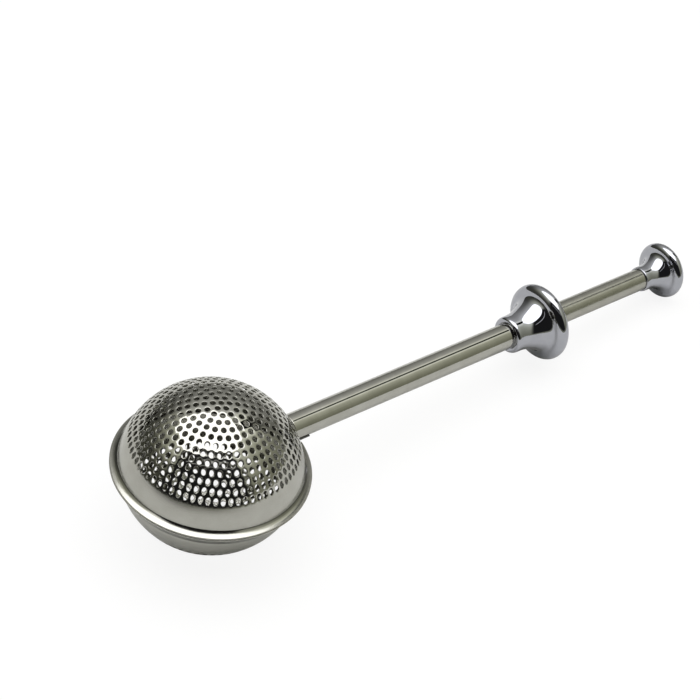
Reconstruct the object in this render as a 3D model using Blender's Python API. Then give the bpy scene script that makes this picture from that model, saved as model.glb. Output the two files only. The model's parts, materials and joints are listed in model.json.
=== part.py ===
"""Push-action tea infuser: a ball of two thin steel halves on a telescopic handle.

The lower half is fixed to the handle tube. The upper half sits on a thin rod that runs
through the tube to a thumb knob: pushing the knob slides the upper half forward off the
lower one, and pulling it closes the ball again. The infuser lies closed on a table, on
the lower half and on the rim of the knob, with its handle sloping down towards +X.

All sizes below are in millimetres. Every mesh is drawn in the handle's own frame: the
origin is the ball's middle on the handle's centre line, +X runs to the knob, +Z is up.
"""

import math

import bmesh
import bpy
from mathutils import Matrix, Vector

MM = 0.001

# Fits between the pieces
FIT_GAP = 0.15        # radial room between nested round pieces
TOUCH_GAP = 0.30      # room between faces that meet

# The two halves of the ball
SHEET = 0.50          # thickness of the sheet
SHELL_R = 23.6        # outer radius of each spherical half
SHELL_DROP = 2.1      # each sphere's centre lies this far beyond the rim plane
DOME_CREASE = 1.05    # height of the upper half's crease, where its wall turns out into the lip
BOWL_CREASE = 2.30    # depth of the lower half's crease, whose lip is steeper
LIP_R = 25.3          # outer radius of both lips
RIM_GAP = 0.15        # half of the gap between the two lips
SHELL_STEPS = 11      # facets from the pole to the crease
BALL_SEGMENTS = 48

# Handle tube and its joint with the lower half
AXIS_ABOVE_RIM = 1.66
TUBE_R = 3.55
TUBE_BORE_R = 3.27
TUBE_FRONT = 23.6
TUBE_REAR = 113.2
SADDLE_WALL = 0.45
SADDLE_FRONT = 22.7
SADDLE_REAR = 28.8
SADDLE_HALF_ANGLE = math.radians(58)
BUSH_LENGTH = 5.5
BUSH_INSET = 0.1
TUBE_SEGMENTS = 32

# Push rod, plunger and knob
ROD_R = 1.10
TRAVEL = 37.0
PLUNGER_R = 3.12
PLUNGER_WALL = 0.30
PLUG_HEAD_R = 3.0
PLUG_GROOVE_R = 2.2
PLUG_DISC = 0.8       # thickness of each disc beside the groove
RING_WIDTH = 1.8
PLUG_SPIGOT = 6.0
KNOB_FRONT = 150.6
KNOB_BORE_END = 154.3
TURNED_SEGMENTS = 40

# Outlines of the turned fittings, as (distance along the handle, radius)
COLLAR_BORE_R = 3.85
COLLAR_OUTLINE = [
    (99.0, COLLAR_BORE_R), (98.8, 4.3), (98.9, 4.75), (99.3, 5.08), (100.0, 5.2), (101.8, 5.22),
    (103.2, 5.38), (104.5, 5.7), (105.7, 6.12), (106.8, 6.6), (107.8, 7.15), (108.6, 7.8),
    (109.05, 8.5), (109.25, 9.2), (109.6, 9.9), (110.1, 10.45), (110.7, 10.8), (111.4, 10.9),
    (112.0, 10.75), (112.5, 10.35), (112.85, 9.8), (113.1, 9.1), (113.5, 8.2), (114.3, 7.0),
    (115.3, 5.9), (116.4, 5.0), (117.2, 4.5), (117.2, COLLAR_BORE_R),
]
KNOB_BORE_R = PLUNGER_R + FIT_GAP
KNOB_OUTLINE = [
    (KNOB_BORE_END, 0.0), (KNOB_BORE_END, KNOB_BORE_R), (KNOB_FRONT + 0.1, KNOB_BORE_R),
    (KNOB_FRONT, 3.38), (150.9, 3.55), (153.2, 3.6), (154.3, 3.74), (155.3, 4.0), (156.2, 4.38),
    (157.0, 4.85), (157.6, 5.35), (158.0, 5.95), (158.2, 6.6), (158.45, 7.25), (158.9, 7.8),
    (159.8, 8.15), (160.6, 8.0), (161.2, 7.55), (161.7, 6.8), (162.3, 6.0), (163.0, 5.5), (163.0, 0.0),
]


def make_material(name, colour, roughness, metallic):
    """A plain Principled material."""
    material = bpy.data.materials.new(name)
    material.use_nodes = True
    shader = material.node_tree.nodes["Principled BSDF"]
    shader.inputs["Base Color"].default_value = (*colour, 1.0)
    shader.inputs["Roughness"].default_value = roughness
    shader.inputs["Metallic"].default_value = metallic
    return material


def make_object(name, bm, material, parent):
    """Turns a bmesh in millimetres into a smooth-shaded object in metres."""
    bmesh.ops.remove_doubles(bm, verts=bm.verts, dist=0.001)
    bmesh.ops.recalc_face_normals(bm, faces=bm.faces)
    bmesh.ops.scale(bm, vec=(MM, MM, MM), verts=bm.verts)
    mesh = bpy.data.meshes.new(name)
    bm.to_mesh(mesh)
    bm.free()
    mesh.shade_smooth()
    mesh.set_sharp_from_angle(angle=math.radians(35))
    obj = bpy.data.objects.new(name, mesh)
    bpy.context.scene.collection.objects.link(obj)
    obj.data.materials.append(material)
    obj.parent = parent
    return obj


def turned(outline, segments, axis):
    """Spins a closed outline of (along the axis, radius) into a solid, with a flat facet facing down or ahead."""
    bm = bmesh.new()
    half_step = Matrix.Rotation(math.pi / segments, 4, axis)
    if axis == "X":
        points = [half_step @ Vector((along, 0, -radius)) for along, radius in outline]
        direction = (1, 0, 0)
    else:
        points = [half_step @ Vector((radius, 0, along)) for along, radius in outline]
        direction = (0, 0, 1)
    verts = [bm.verts.new(point) for point in points]
    edges = [bm.edges.new((a, b)) for a, b in zip(verts, verts[1:] + verts[:1]) if (a.co - b.co).length > 0]
    bmesh.ops.spin(
        bm, geom=verts + edges, cent=(0, 0, 0), axis=direction, dvec=(0, 0, 0),
        angle=2 * math.pi, steps=segments, use_merge=True, use_duplicate=False,
    )
    return bm


def tube_outline(front, rear, outer, inner):
    """The outline of a plain tube."""
    return [(front, inner), (front, outer), (rear, outer), (rear, inner)]


def shell_outline(crease_height):
    """One half of the ball as (height above the rim plane, radius), pole up: outside, lip, then inside."""
    def arc(radius, end_height):
        end_angle = math.acos((end_height + SHELL_DROP) / radius)
        angles = [end_angle * step / SHELL_STEPS for step in range(SHELL_STEPS + 1)]
        return [(radius * math.cos(a) - SHELL_DROP, radius * math.sin(a)) for a in angles]

    outside = arc(SHELL_R, crease_height)
    inside = arc(SHELL_R - SHEET, crease_height)
    lip = [
        (RIM_GAP + 0.45, LIP_R - 0.3),
        (RIM_GAP + 0.33, LIP_R - 0.07),
        (RIM_GAP + 0.2, LIP_R),
        (RIM_GAP, LIP_R - 0.15),
        (max(RIM_GAP, crease_height - SHEET), inside[-1][1] + SHEET),
    ]
    return outside + lip + inside[::-1]


def along_handle(outline):
    """Moves an outline's heights from the rim plane to the handle's centre line."""
    return [(height - AXIS_ABOVE_RIM, radius) for height, radius in outline]


def cylinder_cutter(name, front, rear, radius, parent):
    """A plain cylinder along the handle, for cutting a notch."""
    bm = turned([(front, 0.0), (front, radius), (rear, radius), (rear, 0.0)], TUBE_SEGMENTS, "X")
    cutter = make_object(name, bm, steel, parent)
    cutter.hide_render = True
    cutter.display_type = "WIRE"
    return cutter


def cut(obj, cutter):
    """Takes the cutter out of the object."""
    modifier = obj.modifiers.new("notch", "BOOLEAN")
    modifier.operation = "DIFFERENCE"
    modifier.object = cutter


def saddle_mesh(front, rear, inner, wall, half_angle, steps=8):
    """A curved strip of sheet that cups the underside of the tube."""
    bm = bmesh.new()
    sections = []
    for x in (front, rear):
        angles = [-half_angle + 2 * half_angle * step / steps for step in range(steps + 1)]
        below = [Vector((x, (inner + wall) * math.sin(a), -(inner + wall) * math.cos(a))) for a in angles]
        above = [Vector((x, inner * math.sin(a), -inner * math.cos(a))) for a in reversed(angles)]
        sections.append([bm.verts.new(point) for point in below + above])
    bm.faces.new(sections[0])
    bm.faces.new(sections[1][::-1])
    count = len(sections[0])
    for i in range(count):
        j = (i + 1) % count
        bm.faces.new((sections[0][i], sections[0][j], sections[1][j], sections[1][i]))
    return bm


def lying_angle(bowl, fittings):
    """How far the handle slopes down when the lower half and the lowest fitting both touch the table."""
    def bowl_above_fittings(angle):
        down, level = math.sin(angle), math.cos(angle)
        bowl_flat = math.cos(math.pi / BALL_SEGMENTS)
        fitting_flat = math.cos(math.pi / TURNED_SEGMENTS)
        bowl_low = min(height * level - radius * bowl_flat * down for height, radius in bowl)
        fitting_low = min(-along * down - radius * fitting_flat * level for along, radius in fittings)
        return bowl_low - fitting_low

    low, high = 0.0, math.radians(30)
    for _ in range(50):
        middle = (low + high) / 2
        if bowl_above_fittings(middle) < 0:
            low = middle
        else:
            high = middle
    return (low + high) / 2


for old in list(bpy.data.objects):
    bpy.data.objects.remove(old)

steel = make_material("stainless steel", (0.62, 0.61, 0.57), 0.18, 1.0)
satin_steel = make_material("satin steel", (0.58, 0.57, 0.54), 0.35, 1.0)
chrome = make_material("chrome", (0.78, 0.79, 0.82), 0.05, 1.0)
black_plastic = make_material("black plastic", (0.012, 0.012, 0.013), 0.4, 0.0)
nylon = make_material("nylon", (0.75, 0.74, 0.70), 0.5, 0.0)

dome_outline = along_handle(shell_outline(DOME_CREASE))
bowl_outline = along_handle([(-height, radius) for height, radius in shell_outline(BOWL_CREASE)])

# The handle's frame, lying on the table; the slide axis is its X axis
handle_frame = bpy.data.objects.new("handle_frame", None)
slide_axis = bpy.data.objects.new("slide_axis", None)
for empty in (handle_frame, slide_axis):
    bpy.context.scene.collection.objects.link(empty)
slide_axis.parent = handle_frame

# Pieces fixed to the handle
saddle_inner = TUBE_R + TOUCH_GAP
lower_bowl = make_object("lower_bowl", turned(bowl_outline, BALL_SEGMENTS, "Z"), steel, handle_frame)
tube_notch = cylinder_cutter(
    "tube_notch", SHELL_R - 3, LIP_R + 2, saddle_inner + SADDLE_WALL + TOUCH_GAP, handle_frame)
cut(lower_bowl, tube_notch)

make_object(
    "handle_tube",
    turned(tube_outline(TUBE_FRONT, TUBE_REAR, TUBE_R, TUBE_BORE_R), TUBE_SEGMENTS, "X"),
    steel, handle_frame)
make_object(
    "tube_saddle",
    saddle_mesh(SADDLE_FRONT, SADDLE_REAR, saddle_inner, SADDLE_WALL, SADDLE_HALF_ANGLE),
    satin_steel, handle_frame)

bush_front = TUBE_FRONT + BUSH_INSET
bush_rear = bush_front + BUSH_LENGTH
make_object(
    "rod_guide_bush",
    turned(tube_outline(bush_front, bush_rear, TUBE_BORE_R - FIT_GAP, ROD_R + FIT_GAP), TUBE_SEGMENTS, "X"),
    black_plastic, handle_frame)
make_object("grip_collar", turned(COLLAR_OUTLINE, TURNED_SEGMENTS, "X"), chrome, handle_frame)

# Pieces that slide
upper_dome = make_object("upper_dome", turned(dome_outline, BALL_SEGMENTS, "Z"), steel, slide_axis)
lip_notch = cylinder_cutter("lip_notch", SHELL_R - 0.2, LIP_R + 2, TUBE_R + TOUCH_GAP, slide_axis)
cut(upper_dome, lip_notch)

plug_front = bush_rear + TRAVEL + 1.0
groove_front = plug_front + PLUG_DISC
groove_rear = groove_front + RING_WIDTH + 2 * FIT_GAP
spigot_front = groove_rear + PLUG_DISC
spigot_rear = spigot_front + PLUG_SPIGOT
rod_front = TUBE_FRONT
rod_rear = spigot_rear - 2.0
rod_socket_r = ROD_R + FIT_GAP
plunger_front = spigot_front + TOUCH_GAP
plunger_rear = KNOB_BORE_END - TOUCH_GAP
plunger_bore_r = PLUNGER_R - PLUNGER_WALL

make_object(
    "push_rod",
    turned([(rod_front, 0.0), (rod_front, ROD_R), (rod_rear, ROD_R), (rod_rear, 0.0)], TUBE_SEGMENTS, "X"),
    steel, slide_axis)
plug_outline = [
    (plug_front, rod_socket_r), (plug_front, PLUG_HEAD_R), (groove_front, PLUG_HEAD_R),
    (groove_front, PLUG_GROOVE_R), (groove_rear, PLUG_GROOVE_R), (groove_rear, PLUG_HEAD_R),
    (spigot_front, PLUG_HEAD_R), (spigot_front, plunger_bore_r - FIT_GAP),
    (spigot_rear, plunger_bore_r - FIT_GAP), (spigot_rear, 0.0),
    (rod_rear + TOUCH_GAP, 0.0), (rod_rear + TOUCH_GAP, rod_socket_r),
]
make_object("plunger_plug", turned(plug_outline, TUBE_SEGMENTS, "X"), satin_steel, slide_axis)
make_object(
    "friction_ring",
    turned(
        tube_outline(
            groove_front + FIT_GAP, groove_rear - FIT_GAP,
            TUBE_BORE_R - FIT_GAP, PLUG_GROOVE_R + FIT_GAP),
        TUBE_SEGMENTS, "X"),
    nylon, slide_axis)
make_object(
    "plunger_tube",
    turned(tube_outline(plunger_front, plunger_rear, PLUNGER_R, plunger_bore_r), TUBE_SEGMENTS, "X"),
    steel, slide_axis)
make_object("thumb_knob", turned(KNOB_OUTLINE, TURNED_SEGMENTS, "X"), chrome, slide_axis)

# Lays the infuser on the table, with the middle of its box over the origin
handle_frame.rotation_euler = (0, lying_angle(bowl_outline, COLLAR_OUTLINE + KNOB_OUTLINE), 0)
bpy.context.view_layer.update()
corners = [
    obj.matrix_world @ vertex.co
    for obj in bpy.data.objects if obj.type == "MESH" and not obj.hide_render
    for vertex in obj.data.vertices
]
handle_frame.location = (
    -(min(c.x for c in corners) + max(c.x for c in corners)) / 2,
    0,
    -min(c.z for c in corners),
)
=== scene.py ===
"""Looks of the push-action tea infuser: perforated steel ball, steel tubes and chromed fittings.

Every piece is drawn in millimetres in the handle's own frame, as the CAD is: the origin is
the ball's middle on the handle's centre line, +X runs to the knob and +Z is up.
"""

import json
import math

import bpy
import numpy as np
from mathutils import Matrix, Vector
from mathutils.geometry import delaunay_2d_cdt


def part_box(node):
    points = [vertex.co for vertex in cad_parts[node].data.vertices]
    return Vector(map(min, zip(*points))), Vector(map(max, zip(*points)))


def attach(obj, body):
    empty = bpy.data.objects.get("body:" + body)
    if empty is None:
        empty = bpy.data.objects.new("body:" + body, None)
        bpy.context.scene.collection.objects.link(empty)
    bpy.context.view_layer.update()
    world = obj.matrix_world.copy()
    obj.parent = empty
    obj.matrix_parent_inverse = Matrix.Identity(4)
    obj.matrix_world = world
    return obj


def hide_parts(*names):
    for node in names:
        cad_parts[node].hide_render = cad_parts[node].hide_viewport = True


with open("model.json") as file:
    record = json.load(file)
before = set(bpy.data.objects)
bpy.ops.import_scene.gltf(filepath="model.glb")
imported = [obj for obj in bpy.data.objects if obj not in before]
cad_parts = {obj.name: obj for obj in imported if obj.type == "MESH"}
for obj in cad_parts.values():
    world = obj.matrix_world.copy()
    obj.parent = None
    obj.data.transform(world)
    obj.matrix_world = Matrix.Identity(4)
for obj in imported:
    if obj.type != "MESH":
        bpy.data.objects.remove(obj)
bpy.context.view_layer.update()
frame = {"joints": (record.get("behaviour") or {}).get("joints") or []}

MM = 0.001

# Places along the handle, as in the CAD
TUBE_FRONT = 23.6
TUBE_REAR = 113.2
AXIS_ABOVE_RIM = 1.66
TUBE_R = 3.55
TUBE_BORE_R = 3.27
PLUNGER_R = 3.12
PLUNGER_BORE_R = 2.82
ROD_R = 1.10
BUSH_REAR = TUBE_FRONT + 5.6

# The two halves of the ball
SHEET = 0.34
SHELL_R = 23.58
SHELL_DROP = 2.1
LIP_R = 25.2
RIM_GAP = 0.13

FILLET_R = 0.55           # at the crease, to the middle of the sheet
WALL_STEPS = 24
FILLET_STEPS = 9
LIP_STEPS = 9
TROUGH_FROM = (WALL_STEPS + 1) // 2      # the first step that the bowl's trough reaches
FILLET_MIDDLE = WALL_STEPS + 1 + FILLET_STEPS / 2

# Where the lip makes way for the tube
ARCH_HALF = 3.75          # the dome's lip is drawn in this far to each side of the tube
ARCH_EASE = 0.9
ARCH_KEEP = 0.12          # the share of its width that is left there
ARCH_WALL_R = 23.2
TROUGH_R = 4.22
TROUGH_SOFT = 0.18        # how softly the trough runs into the bowl's lip

# The halves' finish: a satin band under the holes and a half-polished lip, with painted shade
# darkening the crease
SATIN_DROP = 0.4          # from the lowest holes down to the band
SATIN_EASE = 1.6
BAND_R = 23.42
BAND_EDGE = 0.12
LIP_FROM_R = 23.7
LIP_EASE = 0.3
LIP_SATIN = 0.85          # the lip's share of the band's satin finish
SATIN_ROUGH = 0.17        # what the satin adds to the roughness
# painted shade: the colour that the steel in the crease is darkened towards
CREASE_SHADE_COLOUR = (0.05, 0.05, 0.045, 1.0)

# Perforation
HOLE_R = 0.72
HOLE_SIDES = 14
HOLE_STRETCH = 0.17       # the outermost holes are this much longer down the wall
HOLE_EDGE = 0.14          # width of the rounded edge around a hole
HOLE_DISH = 0.06          # how far the punched sheet leans into each hole
EDGE_MARGIN = 0.72        # the plain sheet beyond the last ring, in pitches

# Rings of points down a hole, as (widening, depth, facing): 1 faces out and -1 faces in
HOLE_LEVELS = (
    (HOLE_EDGE, 0.0, 1.0), (0.06, 0.015, 0.9), (0.015, 0.04, 0.55), (0.0, 0.08, 0.0),
    (0.0, SHEET - 0.07, 0.0), (0.03, SHEET - 0.02, -0.6), (HOLE_EDGE, SHEET, -1.0),
)


# ---------------------------------------------------------------- the handle's frame

def handle_matrix():
    """Places the handle's frame in the world, from the slide's axis and the tube's box."""
    along = -Vector(frame["joints"][0]["axis"]).normalized()
    across = Vector((0, 1, 0))
    up = along.cross(across)
    low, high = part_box("handle_tube")
    origin = (low + high) / 2 - along * (TUBE_FRONT + TUBE_REAR) / 2 * MM
    turn = Matrix((along, across, up)).transposed().to_4x4()
    return Matrix.Translation(origin) @ turn @ Matrix.Scale(MM, 4)


HANDLE = handle_matrix()


# ---------------------------------------------------------------- mesh helpers

def make_object(name, verts, faces, uvs, material, normals=None, attributes=None):
    """A smooth mesh object in the world frame, from points in millimetres in the handle's frame."""
    points = np.asarray(verts, float) @ np.array(HANDLE.to_3x3()).T + np.array(HANDLE.translation)
    mesh = bpy.data.meshes.new(name)
    mesh.from_pydata(points.tolist(), [], faces)
    layer = mesh.uv_layers.new(name="UVMap")
    layer.data.foreach_set("uv", np.asarray(uvs, np.float32).ravel())
    for key, values in (attributes or {}).items():
        attribute = mesh.attributes.new(key, "FLOAT", "POINT")
        attribute.data.foreach_set("value", np.asarray(values, np.float32))
    mesh.materials.append(material)
    mesh.shade_smooth()
    if normals is None:
        mesh.set_sharp_from_angle(angle=math.radians(40))
    else:
        turned = np.asarray(normals, float) @ np.array(HANDLE.to_3x3().normalized()).T
        mesh.normals_split_custom_set_from_vertices(turned.tolist())
    obj = bpy.data.objects.new(name, mesh)
    bpy.context.scene.collection.objects.link(obj)
    return obj


def smooth_curve(points, count):
    """A natural cubic spline through the points, as evenly spaced points."""
    p = np.asarray(points, float)
    t = np.concatenate([[0], np.cumsum(np.hypot(*np.diff(p, axis=0).T))])
    h = np.diff(t)
    n = len(p)
    system = np.eye(n)
    right = np.zeros((n, 2))
    for i in range(1, n - 1):
        system[i, i - 1:i + 2] = h[i - 1], 2 * (h[i - 1] + h[i]), h[i]
        right[i] = 6 * ((p[i + 1] - p[i]) / h[i] - (p[i] - p[i - 1]) / h[i - 1])
    bend = np.linalg.solve(system, right)
    s = np.linspace(0, t[-1], count)
    k = np.clip(np.searchsorted(t, s, side="right") - 1, 0, n - 2)
    a = ((t[k + 1] - s) / h[k])[:, None]
    b = ((s - t[k]) / h[k])[:, None]
    hk = h[k][:, None]
    curve = a * p[k] + b * p[k + 1] + ((a**3 - a) * bend[k] + (b**3 - b) * bend[k + 1]) * hk**2 / 6
    return [tuple(point) for point in curve]


def arc(centre, radius, start, end, steps):
    """Points on an arc in the (along, radius) plane; angles in degrees from the handle's direction."""
    angles = np.radians(np.linspace(start, end, steps + 1))
    return [(centre[0] + radius * math.cos(a), centre[1] + radius * math.sin(a)) for a in angles]


def tube_outline(front, rear, outer, inner, edge):
    """A tube's section, with rounded edges and a point beside each to keep the walls straight."""
    return (
        [(front + 2 * edge, inner)]
        + arc((front + edge, inner + edge), edge, 270, 180, 4)
        + arc((front + edge, outer - edge), edge, 180, 90, 4)
        + [(front + 2 * edge, outer), (rear - 2 * edge, outer)]
        + arc((rear - edge, outer - edge), edge, 90, 0, 4)
        + arc((rear - edge, inner + edge), edge, 0, -90, 4)
        + [(rear - 2 * edge, inner)]
    )


def turned_piece(name, outline, segments, material):
    """A piece turned about the handle's axis from a closed (along, radius) outline."""
    outline = np.asarray(outline, float)
    count = len(outline)
    on_axis = outline[:, 1] < 1e-6
    closed = not on_axis[0]
    angles = np.linspace(0, 2 * math.pi, segments, endpoint=False)
    rings = np.stack([
        np.repeat(outline[:, 0][:, None], segments, 1),
        outline[:, 1][:, None] * np.sin(angles),
        outline[:, 1][:, None] * -np.cos(angles),
    ], -1)
    travel = np.concatenate([[0], np.cumsum(np.hypot(*np.diff(outline, axis=0).T))])
    verts = []
    index = np.zeros((count, segments), int)
    for i in range(count):
        if on_axis[i]:
            index[i] = len(verts)
            verts.append(rings[i, 0])
        else:
            index[i] = len(verts) + np.arange(segments)
            verts.extend(rings[i])
    faces = []
    uvs = []
    girth = 2 * math.pi * outline[:, 1].max()
    for i in range(count if closed else count - 1):
        k = (i + 1) % count
        top = travel[k] if k else travel[-1] + np.hypot(*(outline[0] - outline[-1]))
        for j in range(segments):
            m = (j + 1) % segments
            u0, u1 = j / segments * girth, (j + 1) / segments * girth
            corners = [
                (index[i, j], (u0, travel[i])), (index[k, j], (u0, top)),
                (index[k, m], (u1, top)), (index[i, m], (u1, travel[i])),
            ]
            kept = []
            for corner in reversed(corners):
                if corner[0] not in [c[0] for c in kept]:
                    kept.append(corner)
            if len(kept) > 2:
                faces.append([int(c[0]) for c in kept])
                uvs.extend(c[1] for c in kept)
    return make_object(name, verts, faces, uvs, material)


# ---------------------------------------------------------------- materials

STEEL = (0.44, 0.435, 0.40)
CLOUD_SCALE = 260.0       # a metal's faint patches, per metre
GRAIN_SCALE = 2600.0      # a plastic's grain, per metre


def grey(value):
    return (value, value, value, 1.0)


class Graph:
    """A few short ways to write shader nodes."""

    def __init__(self, tree):
        self.tree = tree
        self.links = tree.links

    def node(self, kind, inputs=None, **settings):
        node = self.tree.nodes.new(kind)
        for key, value in settings.items():
            setattr(node, key, value)
        for key, value in (inputs or {}).items():
            self.feed(node.inputs[key], value)
        return node

    def feed(self, socket, value):
        if isinstance(value, bpy.types.NodeSocket):
            self.links.new(value, socket)
        else:
            socket.default_value = value

    def math(self, operation, *values):
        node = self.tree.nodes.new("ShaderNodeMath")
        node.operation = operation
        for socket, value in zip(node.inputs, values):
            self.feed(socket, value)
        return node.outputs[0]

    def product(self, value, *others):
        for other in others:
            value = self.math("MULTIPLY", value, other)
        return value

    def power(self, value, exponent):
        return self.math("POWER", value, exponent)

    def apart(self, first, second):
        return self.math("ABSOLUTE", self.math("SUBTRACT", first, second))

    def ramp(self, value, low, high, to_low=0.0, to_high=1.0):
        """Maps value smoothly from one range to another, held at the ends."""
        node = self.node(
            "ShaderNodeMapRange",
            {"Value": value, "From Min": low, "From Max": high, "To Min": to_low, "To Max": to_high},
            interpolation_type="SMOOTHSTEP")
        return node.outputs["Result"]

    def noise(self, vector, scale, detail=2.0, roughness=0.5):
        node = self.node(
            "ShaderNodeTexNoise",
            {"Vector": vector, "Scale": scale, "Detail": detail, "Roughness": roughness})
        return node.outputs["Fac"]

    def stretched(self, vector, stretch):
        node = self.node("ShaderNodeMapping", {"Vector": vector, "Scale": stretch})
        return node.outputs["Vector"]

    def mix(self, factor, first, second):
        node = self.node("ShaderNodeMix", data_type="RGBA")
        self.feed(node.inputs["Factor"], factor)
        self.feed(node.inputs["A"], first)
        self.feed(node.inputs["B"], second)
        return node.outputs["Result"]


def metal(name, light, dark, rough, grain, bump=0.0):
    """Bare or plated metal.

    light and dark bound its colour, rough bounds its roughness, grain stretches its drawing
    lines over (around, along) in lines per millimetre, and bump is the lines' depth in metres.
    """
    material = bpy.data.materials.new(name)
    material.use_nodes = True
    graph = Graph(material.node_tree)
    shader = material.node_tree.nodes["Principled BSDF"]
    shader.inputs["Metallic"].default_value = 1.0
    uv = graph.node("ShaderNodeTexCoord").outputs["UV"]
    lines = graph.noise(graph.stretched(uv, (grain[0], grain[1], 1.0)), 1.0, 3.0, 0.6)
    place = graph.node("ShaderNodeTexCoord").outputs["Object"]
    clouds = graph.noise(place, CLOUD_SCALE, 3.0, 0.55)
    tone = graph.math("ADD", graph.math("MULTIPLY", lines, 0.5), graph.math("MULTIPLY", clouds, 0.5))
    graph.feed(
        shader.inputs["Base Color"],
        graph.mix(graph.ramp(tone, 0.35, 0.65), (*dark, 1.0), (*light, 1.0)))
    graph.feed(shader.inputs["Roughness"], graph.ramp(tone, 0.3, 0.7, rough[0], rough[1]))
    if bump:
        node = graph.node("ShaderNodeBump", {"Height": lines, "Strength": 0.5, "Distance": bump})
        graph.feed(shader.inputs["Normal"], node.outputs["Normal"])
    return material


def ball_metal():
    """The halves' steel: a polished cap, a satin band beside the lip, a polished lip and painted shade
    in the crease.
    """
    material = metal("ball_steel", STEEL, (0.39, 0.385, 0.35), rough=(0.05, 0.08), grain=(0.6, 7.0))
    graph = Graph(material.node_tree)
    shader = material.node_tree.nodes["Principled BSDF"]
    satin = graph.node("ShaderNodeAttribute", attribute_name="satin").outputs["Fac"]
    polished = shader.inputs["Roughness"].links[0].from_socket
    brushed = graph.math("ADD", polished, SATIN_ROUGH)
    rough = graph.node("ShaderNodeMix", data_type="FLOAT")
    graph.feed(rough.inputs["Factor"], satin)
    graph.feed(rough.inputs["A"], polished)
    graph.feed(rough.inputs["B"], brushed)
    graph.feed(shader.inputs["Roughness"], rough.outputs["Result"])
    # painted shade: the steel is darkened towards this colour in the crease
    crease = graph.node("ShaderNodeAttribute", attribute_name="crease").outputs["Fac"]
    steel = shader.inputs["Base Color"].links[0].from_socket
    graph.feed(shader.inputs["Base Color"], graph.mix(crease, steel, CREASE_SHADE_COLOUR))
    return material


def plastic(name, colour, rough):
    """Moulded plastic with a faint grain."""
    material = bpy.data.materials.new(name)
    material.use_nodes = True
    graph = Graph(material.node_tree)
    shader = material.node_tree.nodes["Principled BSDF"]
    place = graph.node("ShaderNodeTexCoord").outputs["Object"]
    grain = graph.noise(place, GRAIN_SCALE, 3.0, 0.6)
    dark = tuple(c * 0.8 for c in colour)
    graph.feed(shader.inputs["Base Color"], graph.mix(grain, (*dark, 1.0), (*colour, 1.0)))
    graph.feed(shader.inputs["Roughness"], graph.ramp(grain, 0.3, 0.7, rough - 0.06, rough + 0.08))
    bump = graph.node("ShaderNodeBump", {"Height": grain, "Strength": 0.3, "Distance": 0.00002})
    graph.feed(shader.inputs["Normal"], bump.outputs["Normal"])
    return material


BALL_STEEL = ball_metal()
TUBE_STEEL = metal(
    "drawn_tube_steel", STEEL, (0.38, 0.375, 0.34),
    rough=(0.05, 0.09), grain=(9.0, 0.05), bump=0.000001)
PLUNGER_STEEL = metal(
    "plunger_tube_steel", (0.39, 0.385, 0.345), (0.34, 0.335, 0.295),
    rough=(0.19, 0.25), grain=(9.0, 0.05), bump=0.000002)
ROD_STEEL = metal(
    "satin_rod_steel", STEEL, (0.37, 0.365, 0.335),
    rough=(0.18, 0.28), grain=(6.0, 0.2), bump=0.000002)
# painted shade: the strip under the tube's mouth is coloured nearly black for the shade it sits in
SADDLE_SHADE_STEEL = metal(
    "strip_steel_painted_shade", (0.10, 0.10, 0.10), (0.06, 0.06, 0.06),
    rough=(0.25, 0.35), grain=(3.0, 3.0), bump=0.000002)
CHROME = metal(
    "mirror_chrome", (0.41, 0.415, 0.45), (0.38, 0.385, 0.42),
    rough=(0.02, 0.045), grain=(0.3, 0.3))
BLACK_PLASTIC = plastic("black_bush_plastic", (0.015, 0.015, 0.016), 0.42)
NYLON = plastic("natural_nylon", (0.72, 0.70, 0.65), 0.5)


# ---------------------------------------------------------------- the perforated halves

def columns_around():
    """The angles of the ball's columns, closer together beside the handle."""
    coarse = math.radians(2)
    fine = math.radians(0.5)
    near = math.radians(18)
    beside = np.arange(-near, near - 1e-9, fine)
    rest = np.arange(near, 2 * math.pi - near - 1e-9, coarse)
    return np.concatenate([beside, rest])


def sheet_line(wall_from, lip_slopes, lip_width):
    """The middle of the sheet from the perforated cap to the lip's end.

    Returns its points as (radius, height) and their outward normals. The wall follows the
    sphere, turns through a small fillet, and runs out in a lip whose fall eases from the first
    slope to the second.
    """
    middle_r = SHELL_R - SHEET / 2
    centre = np.array([0.0, -SHELL_DROP])
    steep, flat = (math.radians(slope) for slope in lip_slopes)

    # the lip, from its end inwards
    lip = [np.array([LIP_R - SHEET / 2, RIM_GAP + SHEET / 2])]
    lip_falls = [flat]
    for step in range(LIP_STEPS):
        fall = flat + (steep - flat) * (step + 0.5) / LIP_STEPS
        lip.append(lip[-1] + lip_width / LIP_STEPS * np.array([-math.cos(fall), math.sin(fall)]))
        lip_falls.append(flat + (steep - flat) * (step + 1) / LIP_STEPS)

    # the fillet touches the lip's inner end, carried on straight, and the sphere
    inward = np.array([-math.cos(steep), math.sin(steep)])
    upright = np.array([math.sin(steep), math.cos(steep)])
    base = lip[-1] + FILLET_R * upright - centre
    lean = base @ inward
    straight = -lean - math.sqrt(lean**2 - base @ base + (middle_r + FILLET_R) ** 2)
    pivot = lip[-1] + straight * inward + FILLET_R * upright
    wall_end = math.atan2(pivot[0], (pivot - centre)[1])

    tilts = list(np.linspace(wall_from, wall_end, WALL_STEPS + 1))
    points = [centre + middle_r * np.array([math.sin(tilt), math.cos(tilt)]) for tilt in tilts]
    turns = np.linspace(wall_end, steep, FILLET_STEPS + 1)[1:]
    points += [pivot - FILLET_R * np.array([math.sin(turn), math.cos(turn)]) for turn in turns]
    tilts += list(turns)
    points += lip[::-1]
    tilts += lip_falls[::-1]
    normals = np.array([[math.sin(tilt), math.cos(tilt)] for tilt in tilts])
    return np.array(points), normals


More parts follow.
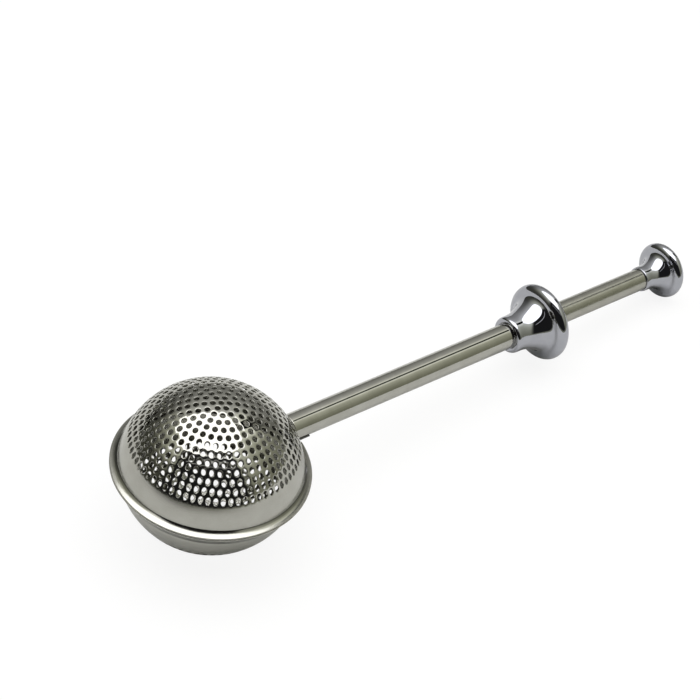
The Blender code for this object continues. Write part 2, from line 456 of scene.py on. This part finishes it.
def hole_places(rings, pitch):
    """The flat pattern: one hole in the middle and rings of six times their number."""
    places = [(0.0, 0.0, 0.0)]
    for ring in range(1, rings + 1):
        count = 6 * ring
        for i in range(count):
            angle = 2 * math.pi * (i + 0.5 * (ring % 2)) / count
            places.append((ring * pitch, angle, ring / rings))
    return places


def hole_outlines(places, widening):
    """The outlines of all the holes on the flat pattern."""
    sides = np.arange(HOLE_SIDES) / HOLE_SIDES * 2 * math.pi
    radius = HOLE_R + widening
    loops = []
    for reach, angle, share in places:
        down = radius + HOLE_R * HOLE_STRETCH * share**2
        local = np.stack([reach + down * np.cos(sides), radius * np.sin(sides)], -1)
        turn = np.array([[math.cos(angle), -math.sin(angle)], [math.sin(angle), math.cos(angle)]])
        loops.append(local @ turn.T)
    return np.concatenate(loops)


def loop_edges(first, count):
    """The edges of a closed loop of points numbered from first."""
    return [(first + i, first + (i + 1) % count) for i in range(count)]


def flat_triangles(outlines, boundary):
    """Triangles between the holes' outlines and the boundary circle, with the holes left open."""
    flat = np.concatenate([outlines, boundary])
    edges = []
    for first in range(0, len(outlines), HOLE_SIDES):
        edges += loop_edges(first, HOLE_SIDES)
    edges += loop_edges(len(outlines), len(boundary))
    result = delaunay_2d_cdt([Vector(point) for point in flat], edges, [], 0, 1e-6)
    if len(result[0]) != len(flat):
        raise RuntimeError("the flat pattern's points overlap")
    origin = [ids[0] for ids in result[3]]
    triangles = []
    for triangle in result[2]:
        corners = tuple(origin[i] for i in triangle)
        owners = {corner // HOLE_SIDES for corner in corners}
        if len(owners) > 1 or corners[0] >= len(outlines):
            triangles.append(corners)
    return triangles


def on_sphere(flat, depth):
    """Draws flat points over the sphere, keeping their area, at a depth in the sheet."""
    reach = np.hypot(flat[:, 0], flat[:, 1])
    polar = 2 * np.arcsin(reach / (2 * SHELL_R))
    azimuth = np.arctan2(flat[:, 1], flat[:, 0])
    normals = np.stack([
        np.sin(polar) * np.cos(azimuth), np.sin(polar) * np.sin(azimuth), np.cos(polar)], -1)
    points = normals * (SHELL_R - depth)
    points[:, 2] -= SHELL_DROP
    return points, normals


def perforated_cap(places, boundary):
    """The sheet with its holes. Its last vertices are its outside edge, then its inside edge."""
    triangles = flat_triangles(hole_outlines(places, HOLE_EDGE), boundary)
    flat_centres = np.array([(reach * math.cos(a), reach * math.sin(a)) for reach, a, _ in places])
    centres = np.repeat(flat_centres, HOLE_SIDES, 0)
    verts, normals = [], []
    for widening, depth, facing in HOLE_LEVELS:
        points, up = on_sphere(hole_outlines(places, widening), depth)
        into = on_sphere(centres, depth)[0] - points
        into /= np.linalg.norm(into, axis=1)[:, None]
        blend = up * facing + into * (1 - abs(facing) + HOLE_DISH)
        verts.append(points)
        normals.append(blend / np.linalg.norm(blend, axis=1)[:, None])
    for depth, facing in ((0.0, 1.0), (SHEET, -1.0)):
        points, up = on_sphere(boundary, depth)
        verts.append(points)
        normals.append(up * facing)

    hole_points = len(centres)
    inside = (len(HOLE_LEVELS) - 1) * hole_points
    outer_edge = inside + hole_points
    inner_edge = outer_edge + len(boundary)

    def vertex(corner, surface, edge):
        return surface + corner if corner < hole_points else edge + corner - hole_points

    faces = [tuple(vertex(v, 0, outer_edge) for v in tri) for tri in triangles]
    faces += [tuple(vertex(v, inside, inner_edge) for v in tri[::-1]) for tri in triangles]
    for upper in range(0, inside, hole_points):
        lower = upper + hole_points
        for first in range(0, hole_points, HOLE_SIDES):
            for a, b in loop_edges(first, HOLE_SIDES):
                faces.append((upper + a, upper + b, lower + b, lower + a))
    return np.concatenate(verts), np.concatenate(normals), faces


def band_section(wall_from, lip_slopes, lip_width):
    """The section of the plain band and the lip, down the outside and back up the inside.

    Each entry is a point's radius and height, and its step along the sheet's middle line. The
    heights of that line come second.
    """
    line, normals = sheet_line(wall_from, lip_slopes, lip_width)
    steps = range(1, len(line))
    section = [(*(line[i] + normals[i] * SHEET / 2), i) for i in steps]
    out = np.array([normals[-1][1], -normals[-1][0]])
    for angle in np.radians(np.linspace(60, -60, 5)):
        rounded = math.sin(angle) * normals[-1] + math.cos(angle) * out
        section.append((*(line[-1] + rounded * SHEET / 2), steps[-1]))
    section += [(*(line[i] - normals[i] * SHEET / 2), i) for i in reversed(steps)]
    return section, line[:, 1]


def arched(x, y):
    """Draws the dome's lip in beside the handle, so that the tube can pass."""
    away = np.clip((np.abs(y) - ARCH_HALF) / ARCH_EASE, 0, 1)
    keep = ARCH_KEEP + (1 - ARCH_KEEP) * away * away * (3 - 2 * away)
    radius = np.hypot(x, y)
    beside = (x > 0) & (radius > ARCH_WALL_R)
    scale = np.where(beside, (ARCH_WALL_R + (radius - ARCH_WALL_R) * keep) / radius, 1.0)
    return x * scale, y * scale


def pressed(x, y, z, middle):
    """Presses the tube's trough into the bowl, at a step where the sheet's middle is that deep."""
    beside = (x > 0) & (np.abs(y) < TROUGH_R)
    trough = np.sqrt(np.clip(TROUGH_R**2 - y**2, 0, None)) - AXIS_ABOVE_RIM
    push = np.log1p(np.exp(np.clip((trough - middle) / TROUGH_SOFT, -30, 30)))
    return z + np.where(beside, TROUGH_SOFT * push, 0)


def satin_share(verts, lowest_holes):
    """The satin finish: full from under the lowest holes to the crease, and less on the lip."""
    radius = np.hypot(verts[:, 0], verts[:, 1])
    band = np.clip((lowest_holes - SATIN_DROP - verts[:, 2]) / SATIN_EASE, 0, 1)
    band *= np.clip((BAND_R - radius) / BAND_EDGE, 0, 1)
    return np.maximum(band, LIP_SATIN * np.clip((radius - LIP_FROM_R) / LIP_EASE, 0, 1))


def half_ball(name, side, rings, pitch, lip_slopes, lip_width):
    """One perforated half: side is 1 for the dome and -1 for the bowl, which is mirrored down."""
    around = columns_around()
    count = len(around)
    edge_reach = (rings + EDGE_MARGIN) * pitch
    boundary = np.stack([np.cos(around), np.sin(around)], -1) * edge_reach
    verts, normals, faces = perforated_cap(hole_places(rings, pitch), boundary)
    crease = [np.zeros(len(verts))]
    rows = [len(verts) - 2 * count]
    inner_edge = len(verts) - count

    # the plain band and the lip, as rows of vertices
    wall_from = 2 * math.asin(edge_reach / (2 * SHELL_R))
    section, middles = band_section(wall_from, lip_slopes, lip_width)
    band = []
    for radius, height, step in section:
        x, y = radius * np.cos(around), radius * np.sin(around)
        z = np.full(count, height)
        if side > 0:
            x, y = arched(x, y)
        elif step > TROUGH_FROM:
            z = pressed(x, y, z, middles[step])
        rows.append(len(verts) + len(band) * count)
        band.append(np.stack([x, y, z], -1))
        # how strongly the crease is darkened with painted shade, most at the fillet's middle
        from_crease = abs(step - FILLET_MIDDLE) / (FILLET_STEPS / 2 + 1)
        crease.append(np.full(count, max(0.0, 1 - from_crease**2)))
    rows.append(inner_edge)
    for upper, lower in zip(rows, rows[1:]):
        for a, b in loop_edges(0, count):
            faces.append((upper + a, lower + a, lower + b, upper + b))
    verts = np.concatenate([verts, *band])
    normals = np.concatenate([normals, np.zeros((len(band) * count, 3))])

    lowest_holes = SHELL_R * math.cos(2 * math.asin(rings * pitch / (2 * SHELL_R))) - SHELL_DROP
    satin = satin_share(verts, lowest_holes)
    verts[:, 2] *= side
    normals[:, 2] *= side
    verts[:, 2] -= AXIS_ABOVE_RIM
    if side < 0:
        faces = [face[::-1] for face in faces]
    return make_object(
        name + "_perforated", verts, faces, ball_uvs(verts, faces), BALL_STEEL, normals,
        {"satin": satin, "crease": np.concatenate(crease)})


def ball_uvs(verts, faces):
    """Around and along the wall, in millimetres, kept whole across the seam."""
    around = np.arctan2(verts[:, 1], verts[:, 0])
    along = verts[:, 2]
    uvs = []
    for face in faces:
        angles = around[list(face)]
        if angles.max() - angles.min() > math.pi:
            angles = np.where(angles < 0, angles + 2 * math.pi, angles)
        uvs.extend(zip(angles * SHELL_R, along[list(face)]))
    return uvs


def place(piece, node, body, slot):
    """Rides the piece on its body, in place of the CAD node. The slot is not used."""
    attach(piece, body)
    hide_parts(node)


def ball():
    dome = half_ball("upper_dome", 1, 12, 2.05, lip_slopes=(36.0, 12.0), lip_width=1.4)
    place(dome, "upper_dome", "plunger", "perforated_steel")
    bowl = half_ball("lower_bowl", -1, 10, 2.12, lip_slopes=(60.0, 38.0), lip_width=1.9)
    place(bowl, "lower_bowl", "handle", "perforated_steel")


# ---------------------------------------------------------------- the handle and the plunger

def handle_pieces():
    """The tube, its bush, the strip under its mouth and the collar."""
    tube = turned_piece(
        "handle_tube_drawn",
        tube_outline(TUBE_FRONT, TUBE_REAR, TUBE_R, TUBE_BORE_R, 0.1), 160, TUBE_STEEL)
    place(tube, "handle_tube", "handle", "tube_steel")

    bush = turned_piece(
        "rod_guide_bush_moulded",
        tube_outline(TUBE_FRONT + 0.1, BUSH_REAR, TUBE_BORE_R - 0.02, ROD_R + 0.15, 0.15),
        64, BLACK_PLASTIC)
    place(bush, "rod_guide_bush", "handle", "black_plastic")

    # the strip's near-black colour is painted shade
    saddle = saddle_strip(22.9, 28.8, TUBE_R + 0.02, wall=0.4, half_angle=math.radians(62))
    place(saddle, "tube_saddle", "handle", "satin_steel")

    collar_curve = smooth_curve([
        (98.83, 3.95), (98.8, 4.35), (98.92, 4.75), (99.3, 5.06), (100.0, 5.19), (101.8, 5.22),
        (103.2, 5.38), (104.5, 5.7), (105.7, 6.12), (106.8, 6.6), (107.8, 7.15), (108.6, 7.8),
        (109.05, 8.5), (109.25, 9.2), (109.6, 9.9), (110.1, 10.45), (110.7, 10.77), (111.35, 10.86),
        (112.0, 10.73), (112.5, 10.35), (112.85, 9.8), (113.1, 9.1), (113.5, 8.2), (114.3, 7.0),
        (115.3, 5.9), (116.4, 5.0), (117.05, 4.55), (117.15, 4.15),
    ], 260)
    collar = turned_piece(
        "grip_collar_chromed",
        [(TUBE_REAR + 0.1, 3.85), (TUBE_REAR + 0.1, TUBE_R + 0.01), (99.0, TUBE_R + 0.01)]
        + collar_curve + [(117.0, 3.86)],
        180, CHROME)
    place(collar, "grip_collar", "handle", "polished_chrome")


def saddle_strip(front, rear, inner, wall, half_angle):
    """The strip under the tube's mouth: a curved tongue with rounded corners."""
    lengthwise, around = 60, 24
    corner = 0.9
    verts, faces, uvs = [], [], []
    for level in (inner, inner + wall):
        for i in range(lengthwise + 1):
            x = front + (rear - front) * i / lengthwise
            over = max(0.0, (x - (rear - corner)) / corner)
            narrow = half_angle - (1 - math.sqrt(max(0.0, 1 - over**2))) * corner / inner
            for j in range(around + 1):
                angle = narrow * (2 * j / around - 1)
                verts.append((x, level * math.sin(angle), -level * math.cos(angle)))
    row = around + 1
    sheet = (lengthwise + 1) * row
    for i in range(lengthwise):
        for j in range(around):
            a = i * row + j
            faces.append((a, a + row, a + row + 1, a + 1))
            faces.append((sheet + a, sheet + a + 1, sheet + a + row + 1, sheet + a + row))
    rim = (
        list(range(row))
        + [i * row + around for i in range(1, lengthwise + 1)]
        + [lengthwise * row + j for j in range(around - 1, -1, -1)]
        + [i * row for i in range(lengthwise - 1, 0, -1)]
    )
    for a, b in zip(rim, rim[1:] + rim[:1]):
        faces.append((a, b, sheet + b, sheet + a))
    for face in faces:
        uvs.extend((verts[v][1], verts[v][0]) for v in face)
    return make_object("tube_saddle_formed", verts, faces, uvs, SADDLE_SHADE_STEEL)


def plunger_pieces():
    """The rod, plug, ring, inner tube and knob, which slide together."""
    plug_front = BUSH_REAR + 38.0
    groove_front = plug_front + 0.8
    groove_rear = groove_front + 2.1
    spigot_front = groove_rear + 0.8
    spigot_rear = spigot_front + 6.0
    plug_r = 3.0
    groove_r = 2.2
    spigot_r = PLUNGER_BORE_R - 0.03
    rod_rear = spigot_rear - 2.0
    sleeve_front = 150.64
    tube_rear = 154.0
    sleeve_r = PLUNGER_R + 0.02
    knob_face = 163.0

    rod = turned_piece("push_rod_welded", [
        (23.0, 0.0), (23.0, 1.75), (23.3, 1.62), (23.42, 1.3), (23.6, 1.14), (23.9, ROD_R),
        (24.2, ROD_R), (rod_rear - 0.1, ROD_R), (rod_rear, ROD_R - 0.1), (rod_rear, 0.0),
    ], 64, ROD_STEEL)
    place(rod, "push_rod", "plunger", "satin_steel")

    plug = turned_piece("plunger_plug_turned", [
        (plug_front, ROD_R + 0.05), (plug_front, plug_r - 0.1), (plug_front + 0.1, plug_r),
        (groove_front, plug_r), (groove_front, groove_r), (groove_rear, groove_r),
        (groove_rear, plug_r), (spigot_front, plug_r), (spigot_front, spigot_r),
        (spigot_rear - 0.3, spigot_r), (spigot_rear, PLUNGER_BORE_R - 0.3), (spigot_rear, 0.0),
        (rod_rear + 0.3, 0.0), (rod_rear + 0.3, ROD_R + 0.05),
    ], 64, ROD_STEEL)
    place(plug, "plunger_plug", "plunger", "satin_steel")

    ring = turned_piece(
        "friction_ring_moulded",
        tube_outline(groove_front + 0.12, groove_rear - 0.12, TUBE_BORE_R - 0.15, 2.3, 0.25),
        64, NYLON)
    place(ring, "friction_ring", "plunger", "nylon")

    tube = turned_piece(
        "plunger_tube_drawn",
        tube_outline(spigot_front + 0.1, tube_rear, PLUNGER_R, PLUNGER_BORE_R, 0.08),
        160, PLUNGER_STEEL)
    place(tube, "plunger_tube", "plunger", "tube_steel")

    knob_curve = smooth_curve([
        (150.62, 3.3), (150.66, 3.45), (150.95, 3.56), (153.2, 3.6), (154.3, 3.74), (155.3, 4.0),
        (156.2, 4.38), (157.0, 4.85), (157.6, 5.35), (158.0, 5.95), (158.2, 6.6), (158.45, 7.25),
        (158.9, 7.78), (159.8, 8.1), (160.6, 7.96), (161.2, 7.52), (161.7, 6.8), (162.2, 6.15),
        (162.75, 5.75), (knob_face - 0.02, 5.4),
    ], 220)
    knob = turned_piece(
        "thumb_knob_chromed",
        [(tube_rear + 0.3, 0.0), (tube_rear + 0.3, sleeve_r), (sleeve_front, sleeve_r)]
        + knob_curve
        + [(knob_face, 5.1), (knob_face, 2.5), (knob_face, 0.0)],
        180, CHROME)
    place(knob, "thumb_knob", "plunger", "polished_chrome")


# ---------------------------------------------------------------- the studio

# The camera, in the handle's frame
CAMERA_PLACE = (-238.8, -268.4, 353.4)
CAMERA_FORWARD = (0.5455, 0.5255, -0.6529)
CAMERA_UP = (0.3155, 0.5929, 0.7409)
CAMERA_LENS = 104.61

# The tent's level directions, as degrees from +X, roughly away from the photo's viewpoint and
# across to its right
AWAY = 47.5
ACROSS = -39.0

# The tent's cloth, as (height, brightness)
CLOTH = (
    (0.0, 0.36), (0.14, 0.31), (0.28, 0.37), (0.41, 0.43),
    (0.53, 0.52), (0.64, 0.62), (0.74, 0.80), (0.84, 1.0),
)
FAR_NEUTRAL = 0.8         # how far the cloth's green is taken out on the far side
FAR_FADE = (0.3, 0.95)
LEFT_DIM = 0.75           # how far the cloth is dimmed low on the left
LEFT_FADE = (-0.1, -0.75)
LOW_FADE = (0.75, 0.25)

# The cloth's dark corner fold, as degrees from +X, with brighter cloth beside it
FOLD = 1.0
FOLD_AHEAD = (0.0, 0.1)
FOLD_FADE = (0.17, 0.10)
FOLD_HEIGHT = (0.2, 0.7, 0.2, 1.0)
GLOW_COLOUR = (1.38, 1.4, 1.26, 1.0)
GLOW_FADE = (0.5, 0.1)
GLOW_HEIGHT = (0.5, 0.75)

# The dark front, and the openings on a level sheet one unit over the object, as (across, away)
DARK_FRONT = 0.02
FRONT_FADE = (-0.42, -0.62)
FRONT_HEIGHT = (0.03, 0.11)
LOWEST_SHEET = 0.05
SLIT_LIGHT = 0.9
SLIT_AWAY = -0.66
SLIT_FADE = (0.04, 0.01)
SLIT_ENDS = (0.75, 0.55)
PANEL_LIGHT = 3.0
PANEL_CENTRE = (-0.08, 0.155)
PANEL_HALF = (0.71, 0.50)
PANEL_CORNER = 0.38
PANEL_EDGE = 0.02
PANEL_HEIGHT = (0.1, 0.2)
PANEL_CUT = (0.72, 0.68)  # the panel's far right corner is cut off here

# The light below the horizon, past the floor's edge
BELOW = 0.9
BELOW_FADE = (0.0, -0.02)

# The table
FLOOR_R = 1.6
FLOOR_CORNERS = 128
TABLE = 0.82
LIFT = 0.85               # for camera rays this share of the table is plain light, with the
LIFT_LIGHT = 1.04         # strength here, which makes its shadows faint


def camera():
    data = bpy.data.cameras.new("camera")
    data.lens = CAMERA_LENS
    data.sensor_width = 36.0
    data.clip_start = 0.01
    obj = bpy.data.objects.new("camera", data)
    bpy.context.scene.collection.objects.link(obj)
    forward = Vector(CAMERA_FORWARD).normalized()
    right = forward.cross(Vector(CAMERA_UP)).normalized()
    turn = Matrix((right, right.cross(forward), -forward)).transposed()
    turn = HANDLE.to_3x3().normalized() @ turn
    obj.matrix_world = Matrix.Translation(HANDLE @ Vector(CAMERA_PLACE)) @ turn.to_4x4()
    bpy.context.scene.camera = obj


def level_direction(degrees):
    return (math.cos(math.radians(degrees)), math.sin(math.radians(degrees)), 0.0)


def share_along(graph, direction, axis):
    node = graph.node("ShaderNodeVectorMath", operation="DOT_PRODUCT")
    graph.feed(node.inputs[0], direction)
    graph.feed(node.inputs[1], axis)
    return node.outputs["Value"]


def tent_cloth(graph, height, across, away):
    """Grey-green cloth, lighter towards the top, neutral on the far side and dim low on the left."""
    ramp = graph.node("ShaderNodeValToRGB", {"Fac": height})
    elements = ramp.color_ramp.elements
    elements[0].position = CLOTH[0][0]
    elements[1].position = CLOTH[-1][0]
    for position, _ in CLOTH[1:-1]:
        elements.new(position)
    for element, (_, value) in zip(elements, CLOTH):
        element.color = (value, value * 1.015, value * (0.74 + 0.16 * value), 1.0)
    neutral = graph.product(graph.ramp(away, *FAR_FADE), FAR_NEUTRAL)
    plain = graph.node("ShaderNodeRGBToBW", {"Color": ramp.outputs["Color"]}).outputs["Val"]
    cloth = graph.mix(neutral, ramp.outputs["Color"], plain)
    left = graph.product(graph.ramp(across, *LEFT_FADE), graph.ramp(height, *LOW_FADE), LEFT_DIM)
    return graph.mix(left, cloth, grey(0.0))


def folded(graph, cloth, height, beside, ahead):
    """The cloth with its dark corner fold and the brighter cloth beside it."""
    glow = graph.product(
        graph.ramp(beside, *GLOW_FADE), ahead, graph.ramp(height, *GLOW_HEIGHT))
    fold = graph.product(
        graph.ramp(beside, *FOLD_FADE), ahead, graph.ramp(height, *FOLD_HEIGHT))
    return graph.mix(fold, graph.mix(glow, cloth, GLOW_COLOUR), grey(0.0))


def overhead_panel(graph, height, sheet_across, sheet_away):
    """Where the bright overhead panel is: a level rectangle with round corners, one cut off."""
    squares = []
    for value, centre, half in zip((sheet_across, sheet_away), PANEL_CENTRE, PANEL_HALF):
        beyond = graph.math("SUBTRACT", graph.apart(value, centre), half - PANEL_CORNER)
        squares.append(graph.power(graph.math("MAXIMUM", beyond, 0.0), 2.0))
    reach = graph.math("SQRT", graph.math("ADD", *squares))
    diagonal = graph.product(graph.math("ADD", sheet_across, sheet_away), math.sqrt(0.5))
    return graph.product(
        graph.ramp(reach, PANEL_CORNER + PANEL_EDGE, PANEL_CORNER - PANEL_EDGE),
        graph.ramp(height, *PANEL_HEIGHT), graph.ramp(diagonal, *PANEL_CUT))


def studio_world():
    """A light tent: grey-green cloth with a dark fold, a bright overhead panel and a dark front.

    The camera itself sees a white background.
    """
    world = bpy.data.worlds.new("light_tent")
    bpy.context.scene.world = world
    world.use_nodes = True
    graph = Graph(world.node_tree)
    direction = graph.node("ShaderNodeTexCoord").outputs["Generated"]
    height = share_along(graph, direction, (0, 0, 1))
    across = share_along(graph, direction, level_direction(ACROSS))
    away = share_along(graph, direction, level_direction(AWAY))
    above_zero = 1.001
    level = graph.math("SQRT", graph.math("SUBTRACT", above_zero, graph.power(height, 2.0)))
    level_across = graph.math("DIVIDE", across, level)
    level_away = graph.math("DIVIDE", away, level)

    cloth = tent_cloth(graph, height, level_across, level_away)
    ahead = graph.ramp(share_along(graph, direction, level_direction(FOLD)), *FOLD_AHEAD)
    from_fold = share_along(graph, direction, level_direction(FOLD + 90))
    beside = graph.math("ABSOLUTE", graph.math("DIVIDE", from_fold, level))
    cloth = folded(graph, cloth, height, beside, ahead)

    # the dark front, with a lit slit near its top
    front = graph.product(graph.ramp(level_away, *FRONT_FADE), graph.ramp(height, *FRONT_HEIGHT))
    over = graph.math("MAXIMUM", height, LOWEST_SHEET)
    sheet_across = graph.math("DIVIDE", across, over)
    sheet_away = graph.math("DIVIDE", away, over)
    slit = graph.product(
        graph.ramp(graph.apart(sheet_away, SLIT_AWAY), *SLIT_FADE),
        graph.ramp(graph.math("ABSOLUTE", sheet_across), *SLIT_ENDS))
    lit = graph.mix(front, cloth, grey(DARK_FRONT))
    lit = graph.mix(slit, lit, grey(SLIT_LIGHT))

    panel = overhead_panel(graph, height, sheet_across, sheet_away)
    lit = graph.mix(panel, lit, grey(PANEL_LIGHT))
    studio = graph.mix(graph.ramp(height, *BELOW_FADE), lit, grey(BELOW))
    seen = graph.node("ShaderNodeLightPath").outputs["Is Camera Ray"]
    background = world.node_tree.nodes["Background"]
    graph.feed(background.inputs["Color"], graph.mix(seen, studio, grey(1.0)))


def table_material():
    """A pale matt table, which shows the camera its shadows lifted, evenly over the whole floor."""
    material = bpy.data.materials.new("white_table")
    material.use_nodes = True
    graph = Graph(material.node_tree)
    shader = material.node_tree.nodes["Principled BSDF"]
    shader.inputs["Base Color"].default_value = grey(TABLE)
    shader.inputs["Roughness"].default_value = 0.9
    shader.inputs["Specular IOR Level"].default_value = 0.0
    glow = graph.node("ShaderNodeEmission", {"Color": grey(1.0), "Strength": LIFT_LIGHT})
    seen = graph.node("ShaderNodeLightPath").outputs["Is Camera Ray"]
    blend = graph.node("ShaderNodeMixShader", {"Fac": graph.product(seen, LIFT)})
    graph.links.new(shader.outputs["BSDF"], blend.inputs[1])
    graph.links.new(glow.outputs["Emission"], blend.inputs[2])
    surface = material.node_tree.nodes["Material Output"].inputs["Surface"]
    graph.links.new(blend.outputs["Shader"], surface)
    return material


def floor():
    angles = np.linspace(0, 2 * math.pi, FLOOR_CORNERS, endpoint=False)
    ring = [(FLOOR_R * math.cos(a), FLOOR_R * math.sin(a), 0.0) for a in angles]
    mesh = bpy.data.meshes.new("floor")
    mesh.from_pydata(ring, [], [list(range(FLOOR_CORNERS))])
    mesh.materials.append(table_material())
    obj = bpy.data.objects.new("floor", mesh)
    bpy.context.scene.collection.objects.link(obj)


camera()
studio_world()
floor()
ball()
handle_pieces()
plunger_pieces()

bpy.context.scene.view_settings.view_transform = "Standard"
bpy.context.scene.cycles.use_denoising = True
